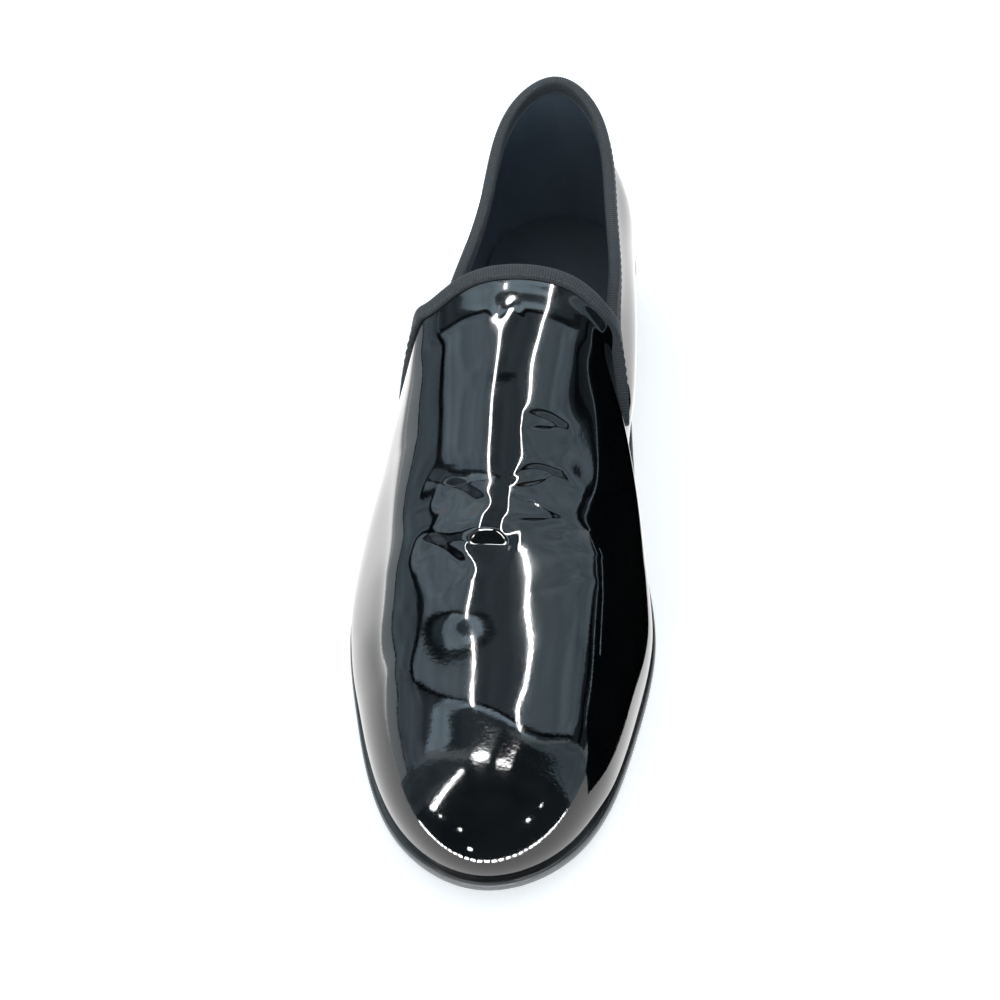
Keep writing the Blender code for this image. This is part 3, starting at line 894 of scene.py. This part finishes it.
def thread_finish():
    """Dark sewing thread with fine strands."""
    finish, tree, shader = new_finish("thread")
    strand = noise(tree, *STITCH_STRAND)
    join(
        tree, shader,
        Base_Color=shaded(tree, strand, *STITCH_COLOURS),
        Roughness=mapped(tree, strand, *NOISE_RANGE, *STITCH_ROUGHNESS),
        Normal=bump(tree, strand, STITCH_STRAND_HEIGHT))
    return finish


def edge_lines(tree, height, count, width):
    """Value that drops to 0 on count level lines between the bottom and the top of an edge."""
    scaled = product(tree, height, float(count + 1))
    near = add_node(tree, "ShaderNodeMath", {0: scaled, 1: 1.0}, operation="PINGPONG").outputs[0]
    return mapped(tree, near, 0.0, width, 0.0, 1.0)


def waxed_finish(name, lines, width, side):
    """Black waxed leather with level lines between its layers; side is the tone below the top of its edge,
    on the sole a lighter grey that is painted light.
    """
    finish, tree, shader = new_finish(name, **WAX_SHADER)
    height = add_node(tree, "ShaderNodeAttribute", attribute_name="height").outputs["Fac"]
    grain = noise(tree, *WAX_GRAIN)
    skin = bump(tree, grain, WAX_GRAIN_HEIGHT)
    tones = {
        "Factor": mapped(tree, height, *WAX_SIDE_RANGE, 0.0, 1.0),
        "A": shaded(tree, grain, *WAX_COLOURS),
        "B": (*side, 1.0),
    }
    # Black top against the side tone; on the sole the lighter side tone is painted light
    tone = add_node(tree, "ShaderNodeMix", tones, data_type="RGBA")
    join(
        tree, shader,
        Base_Color=tone.outputs["Result"],
        Roughness=mapped(tree, noise(tree, *WAX_RUB), *NOISE_RANGE, *WAX_ROUGHNESS),
        Normal=bump(tree, edge_lines(tree, height, lines, width), WAX_LINE_DEPTH, skin))
    return finish


# Light tent, in metres in the shoe's frame. Cards show in reflections alone, and a light of 1 is white.
TENT_TOP = 0.70
TENT_BACK = 0.60
FRONT = -0.21
OUTER_WALL = -1.0
INNER_WALL = 0.85
CARD_STEP = 0.001
WORLD_COLOUR = (0.86, 0.95, 1.0, 1.0)
WORLD_STRENGTH = 1.0
COOL = (0.70, 0.92, 1.06)
WHITE = (1.0, 1.0, 1.0)
CLOTH_SCALE = 8.0
CLOTH_RANGE = (0.7, 1.3)
# The plain floor
STAGE_SIZE = 6.0
FLOOR_SHADER = {
    "Base_Color": (0.95, 0.95, 0.95, 1.0), "Roughness": 0.9, "Specular_IOR_Level": 0.1,
    "Emission_Color": (1.0, 1.0, 1.0, 1.0), "Emission_Strength": 0.4,
}
# Bright strips along the tent's top, and the light beside and between them
STRIP_PLACES = (-0.22, 0.19)
STRIP_WIDTH = 0.022
STRIP_FRONTS = (-0.085, -0.15)
STRIP_LIGHT = 40.0
BETWEEN_LIGHT = 0.36
OUTER_TOP_LIGHT = 1.05
INNER_TOP_LIGHT = 0.85
# Dark seam across the tent's top: its middle line (across, along) and its width at each point
FRONT_SEAM = ((-1.0, 0.060), (-0.54, 0.0), (-0.19, -0.05), (0.42, -0.11), (0.85, -0.13))
SEAM_WIDTHS = (0.054, 0.040, 0.026, 0.052, 0.060)
# Shade ahead of the seam as far as the top's front edge, and light panels in it (across, along)
SHADE_LIGHT = 0.25
FRONT_TOP_EDGE = -0.18
FRONT_TOPS = {
    "outer": ((-1.00, -0.18), (-0.58, -0.18), (-0.24, -0.09), (-0.24, -0.04), (-0.45, -0.02)),
    "middle": ((-0.22, -0.115), (0.20, -0.140), (0.20, -0.098), (-0.22, -0.060)),
    "inner": ((0.21, -0.18), (0.34, -0.18), (0.34, -0.158), (0.21, -0.148)),
}
FRONT_TOP_LIGHT = 1.9
# The tent's front wall: ends of its two sides with their lights, and a light patch (across, up)
FRONT_WALLS = {
    "outer_front": ((OUTER_WALL, -0.15), 0.28),
    "inner_front": ((0.25, INNER_WALL), 0.60),
}
FRONT_PATCH = ((-0.58, 0.70), (-1.00, 0.70), (-1.00, 0.42), (-0.86, 0.36))
FRONT_PATCH_LIGHT = 0.9
# Side walls: their ends along, the dark skirting's edges, the inner wall's foot, and their lights
OUTER_WALL_ENDS = (-1.0, 1.3)
OUTER_WALL_LIGHT = 0.55
SKIRTING = (0.24, 0.262)
INNER_WALL_ENDS = (-0.2, 0.8)
INNER_WALL_FOOT = 0.25
INNER_WALL_LIGHT = 0.12
# Dark rails on the side walls: their lower edge (along, up) and their height
OUTER_RAIL = ((0.06, 0.62), (1.30, 0.62))
OUTER_RAIL_HEIGHT = 0.07
INNER_RAIL = ((-0.20, 0.40), (0.0, 0.46), (0.12, 0.55), (0.22, 0.62), (1.30, 0.62))
INNER_RAIL_HEIGHT = 0.08
# Light of the floor as reflections see it: at the front, towards the back of each side, and the share
# of it that is left far behind
FLOOR_FRONT = -0.05
FLOOR_BACK = 0.12
FLOOR_BLEND = 0.06
FLOOR_LIGHT = 1.05
OUTER_FLOOR_LIGHT = 3.6
INNER_FLOOR_LIGHT = 1.3
FLOOR_FADE = (0.17, 0.28)
FLOOR_FADE_SHARE = 0.3
# The dark camera side: outline of an arch in the tent's front wall (across, up)
ARCH = ((-0.24, 0.0), (-0.22, 0.15), (-0.19, 0.41), (-0.09, 0.78), (0.07, 1.0),
        (0.19, 0.72), (0.28, 0.40), (0.36, 0.0))
ARCH_LIGHT = 0.09
# Bright rims of the arch: lines (across, up) and their widths
RIMS = (
    (((-0.175, 0.10), (-0.200, 0.26), (-0.207, 0.45)), 0.022),
    (((-0.200, 0.71), (-0.085, 0.80)), 0.200),
    (((0.040, 0.58), (0.140, 0.52)), 0.032),
)
RIM_LIGHT = 40.0
# Row of small lamps along the arch's foot (across), their height, size and count, and a few above it
LAMP_ROW = (-0.20, 0.30)
LAMP_ROW_UP = 0.004
LAMP_SIZE = 0.0075
LAMP_COUNT = 44
LAMPS = ((-0.126, 0.095), (-0.052, 0.080), (-0.020, 0.035), (0.113, 0.095), (0.180, 0.130))
# The dark flag on the inner side (along, up), and thin light lines along its top
FLAG_PLACE = 0.060
FLAG = ((-0.122, 0.012), (-0.119, 0.028), (-0.10, 0.045), (-0.05, 0.060), (0.0, 0.074), (0.035, 0.088),
        (0.05, 0.05), (0.055, 0.0), (-0.060, 0.0), (-0.095, 0.003))
FLAG_LINES = (
    ((-0.10, 0.046), (-0.05, 0.061), (0.0, 0.075), (0.035, 0.089)),
    ((-0.075, 0.046), (-0.03, 0.060)),
)
FLAG_LINE_STEP = 0.0001
FLAG_LINE_WIDTH = 0.0008
FLAG_LINE_LIGHT = 1.2
# Camera of the photo: place in metres, directions, lens and sensor in millimetres
CAMERA_PLACE = (0.0667, -0.3274, 0.389)
CAMERA_AIM = (-0.143, 0.648, -0.748)
CAMERA_RIGHT = (0.999, 0.042, 0.0)
CAMERA_LENS = 52.0
CAMERA_SENSOR = 36.0
CAMERA_NEAR = 0.01


def cloth_light(tree, light):
    """Light of a card, uneven as cloth is."""
    least, most = CLOTH_RANGE
    return mapped(tree, noise(tree, CLOTH_SCALE), *NOISE_RANGE, light * least, light * most)


def floor_light(tree):
    """Light of the floor: the front's blends into that of each side, and fades behind the shoe."""
    across, along, _ = directions(tree)
    beside = mapped(tree, across, -FLOOR_BLEND, FLOOR_BLEND, OUTER_FLOOR_LIGHT, INNER_FLOOR_LIGHT)
    strength = mapped(tree, along, FLOOR_FRONT, FLOOR_BACK, FLOOR_LIGHT, beside)
    return product(tree, strength, mapped(tree, along, *FLOOR_FADE, 1.0, FLOOR_FADE_SHARE))


def stage_finish(name, colour, light):
    """Glow of a card; light is a value, or a function that makes its nodes."""
    finish = bpy.data.materials.new(name)
    finish.use_nodes = True
    tree = finish.node_tree
    tree.nodes.clear()
    strength = light(tree) if callable(light) else cloth_light(tree, light)
    glow = add_node(tree, "ShaderNodeEmission", {"Color": (*colour, 1.0), "Strength": strength})
    add_node(tree, "ShaderNodeOutputMaterial", {"Surface": glow.outputs["Emission"]})
    return finish


def add_card(name, corners, light, colour=COOL, sides=0):
    """Flat card of the tent that only reflections see; with sides, one small card after another."""
    mesh = bpy.data.meshes.new(name)
    sides = sides or len(corners)
    mesh.from_pydata(corners, [], [range(i, i + sides) for i in range(0, len(corners), sides)])
    mesh.materials.append(stage_finish(name, colour, light))
    card = add_object(name, mesh)
    for kind in ("camera", "diffuse", "transmission", "volume_scatter", "shadow"):
        setattr(card, "visible_" + kind, False)


def level_card(name, z, outline, light, colour=COOL):
    add_card(name, [(x, y, z) for x, y in outline], light, colour)


def side_card(name, x, outline, light, colour=COOL):
    add_card(name, [(x, y, z) for y, z in outline], light, colour)


def front_card(name, y, outline, light, colour=COOL):
    add_card(name, [(x, y, z) for x, z in outline], light, colour)


def rectangle(first, second):
    """Corners of a rectangle between its ends in two directions."""
    (left, right), (low, high) = first, second
    return [(left, low), (right, low), (right, high), (left, high)]


def about(middle, width):
    return middle - width / 2.0, middle + width / 2.0


def band(line, width):
    """Outline of a band along a line, of one width or of one at each point."""
    line = np.array(line)
    run = unit(np.gradient(line, axis=0))
    side = np.stack([-run[:, 1], run[:, 0]], axis=1) * np.reshape(width, (-1, 1)) / 2.0
    return [tuple(point) for point in np.concatenate([line + side, (line - side)[::-1]])]


def rail_outline(edge, height):
    return list(edge) + [(y, z + height) for y, z in reversed(edge)]


def make_floor():
    mesh = bpy.data.meshes.new("floor")
    ends = about(0.0, STAGE_SIZE)
    mesh.from_pydata([(x, y, 0.0) for x, y in rectangle(ends, ends)], [], [(0, 1, 2, 3)])
    floor = add_object("floor", mesh)
    finish, _, _ = new_finish("floor", **FLOOR_SHADER)
    mesh.materials.append(finish)


def make_world():
    world = bpy.data.worlds.new("tent")
    bpy.context.scene.world = world
    world.use_nodes = True
    sky = world.node_tree.nodes["Background"]
    sky.inputs["Color"].default_value = WORLD_COLOUR
    sky.inputs["Strength"].default_value = WORLD_STRENGTH


def make_top():
    """The tent's top: light cards with strips, and shade, panels and a dark seam at the front."""
    for i, x in enumerate(STRIP_PLACES):
        outline = rectangle(about(x, STRIP_WIDTH), (STRIP_FRONTS[i], TENT_BACK))
        level_card("strip_%d" % i, TENT_TOP - 4 * CARD_STEP, outline, STRIP_LIGHT, WHITE)
    outer, inner = STRIP_PLACES
    tops = (
        ("outer_ceiling", (OUTER_WALL, outer), OUTER_TOP_LIGHT),
        ("between", (outer, inner), BETWEEN_LIGHT),
        ("inner_top", (inner, INNER_WALL), INNER_TOP_LIGHT),
    )
    for name, ends, light in tops:
        level_card(name, TENT_TOP, rectangle(ends, (FRONT_TOP_EDGE, TENT_BACK)), light)
    level_card("front_seam", TENT_TOP - 3 * CARD_STEP, band(FRONT_SEAM, SEAM_WIDTHS), 0.0)
    shade = list(FRONT_SEAM) + [(x, FRONT_TOP_EDGE) for x, _ in reversed(FRONT_SEAM)]
    level_card("front_shade", TENT_TOP - CARD_STEP, shade, SHADE_LIGHT)
    for side, outline in FRONT_TOPS.items():
        level_card("front_top_" + side, TENT_TOP - 2 * CARD_STEP, outline, FRONT_TOP_LIGHT)


def make_sides():
    """The tent's side walls with their skirting and rails."""
    low, high = SKIRTING
    nearer = OUTER_WALL + CARD_STEP
    side_card("outer_wall", OUTER_WALL, rectangle(OUTER_WALL_ENDS, (high, TENT_TOP)), OUTER_WALL_LIGHT)
    side_card("outer_skirting", nearer, rectangle(OUTER_WALL_ENDS, (low, high)), 0.0)
    side_card("outer_rail", nearer, rail_outline(OUTER_RAIL, OUTER_RAIL_HEIGHT), 0.0)
    outline = rectangle(INNER_WALL_ENDS, (INNER_WALL_FOOT, TENT_TOP))
    side_card("inner_wall", INNER_WALL + CARD_STEP, outline, INNER_WALL_LIGHT)
    side_card("inner_rail", INNER_WALL, rail_outline(INNER_RAIL, INNER_RAIL_HEIGHT), 0.0)


def make_front():
    """The tent's front wall: its two sides, the dark arch, bright rims and small lamps."""
    for name, (ends, light) in FRONT_WALLS.items():
        front_card(name, FRONT - 2 * CARD_STEP, rectangle(ends, (0.0, TENT_TOP)), light)
    front_card("front_patch", FRONT - CARD_STEP, FRONT_PATCH, FRONT_PATCH_LIGHT)
    front_card("arch", FRONT - CARD_STEP, ARCH, ARCH_LIGHT)
    for i, (line, width) in enumerate(RIMS):
        front_card("rim_%d" % i, FRONT, band(line, width), RIM_LIGHT, WHITE)
    corners = []
    for x, z in [(x, LAMP_ROW_UP) for x in np.linspace(*LAMP_ROW, LAMP_COUNT)] + list(LAMPS):
        lamp = rectangle(about(x, LAMP_SIZE), about(z, LAMP_SIZE))
        corners += [(across, FRONT, up) for across, up in lamp]
    add_card("lamps", corners, RIM_LIGHT, WHITE, 4)


def make_tent():
    """Cards round the shoe that its gloss reflects."""
    make_top()
    make_sides()
    make_front()
    side_card("flag", FLAG_PLACE, FLAG, 0.0)
    for i, line in enumerate(FLAG_LINES):
        outline = band(line, FLAG_LINE_WIDTH)
        side_card("flag_line_%d" % i, FLAG_PLACE - FLAG_LINE_STEP, outline, FLAG_LINE_LIGHT)
    ground = rectangle((OUTER_WALL, INNER_WALL), (FRONT, TENT_BACK))
    level_card("floor_glow", CARD_STEP / 2.0, ground, floor_light, WHITE)


def make_camera():
    data = bpy.data.cameras.new("camera")
    data.lens = CAMERA_LENS
    data.sensor_width = CAMERA_SENSOR
    data.clip_start = CAMERA_NEAR
    camera = add_object("camera", data)
    back = -Vector(CAMERA_AIM).normalized()
    right = Vector(CAMERA_RIGHT)
    right = (right - right.dot(back) * back).normalized()
    turn = Matrix((right, back.cross(right), back)).transposed().to_4x4()
    camera.matrix_world = Matrix.Translation(CAMERA_PLACE) @ turn
    bpy.context.scene.camera = camera


def main():
    last = Last()
    ribbon = ribbon_finish()
    make_upper(last, patent_finish())
    make_lining(last, lining_finish("lining_leather", LINING_COLOURS))
    tongue = last.inner_notch - last.outer_notch
    make_ribbon(last, "tongue_ribbon", last.outer_notch, tongue, ribbon, "tongue_binding")
    make_ribbon(last, "collar_ribbon", last.inner_notch, last.girth - tongue, ribbon, "collar_binding")
    make_stitches(last, thread_finish())
    # The sole's lighter side tone is painted light on its black edge
    make_sole(last, waxed_finish("sole_edge", *SOLE_EDGE_WITH_PAINTED_LIGHT))
    make_heel(last, waxed_finish("heel_stack", *HEEL_EDGE))
    # The sock takes the lining leather in darker colours: painted shade
    make_sock(last, lining_finish("sock_leather_painted_shade", SOCK_SHADED_COLOURS))
    make_floor()
    make_world()
    make_tent()
    make_camera()
    bpy.context.scene.view_settings.view_transform = "Standard"


main()
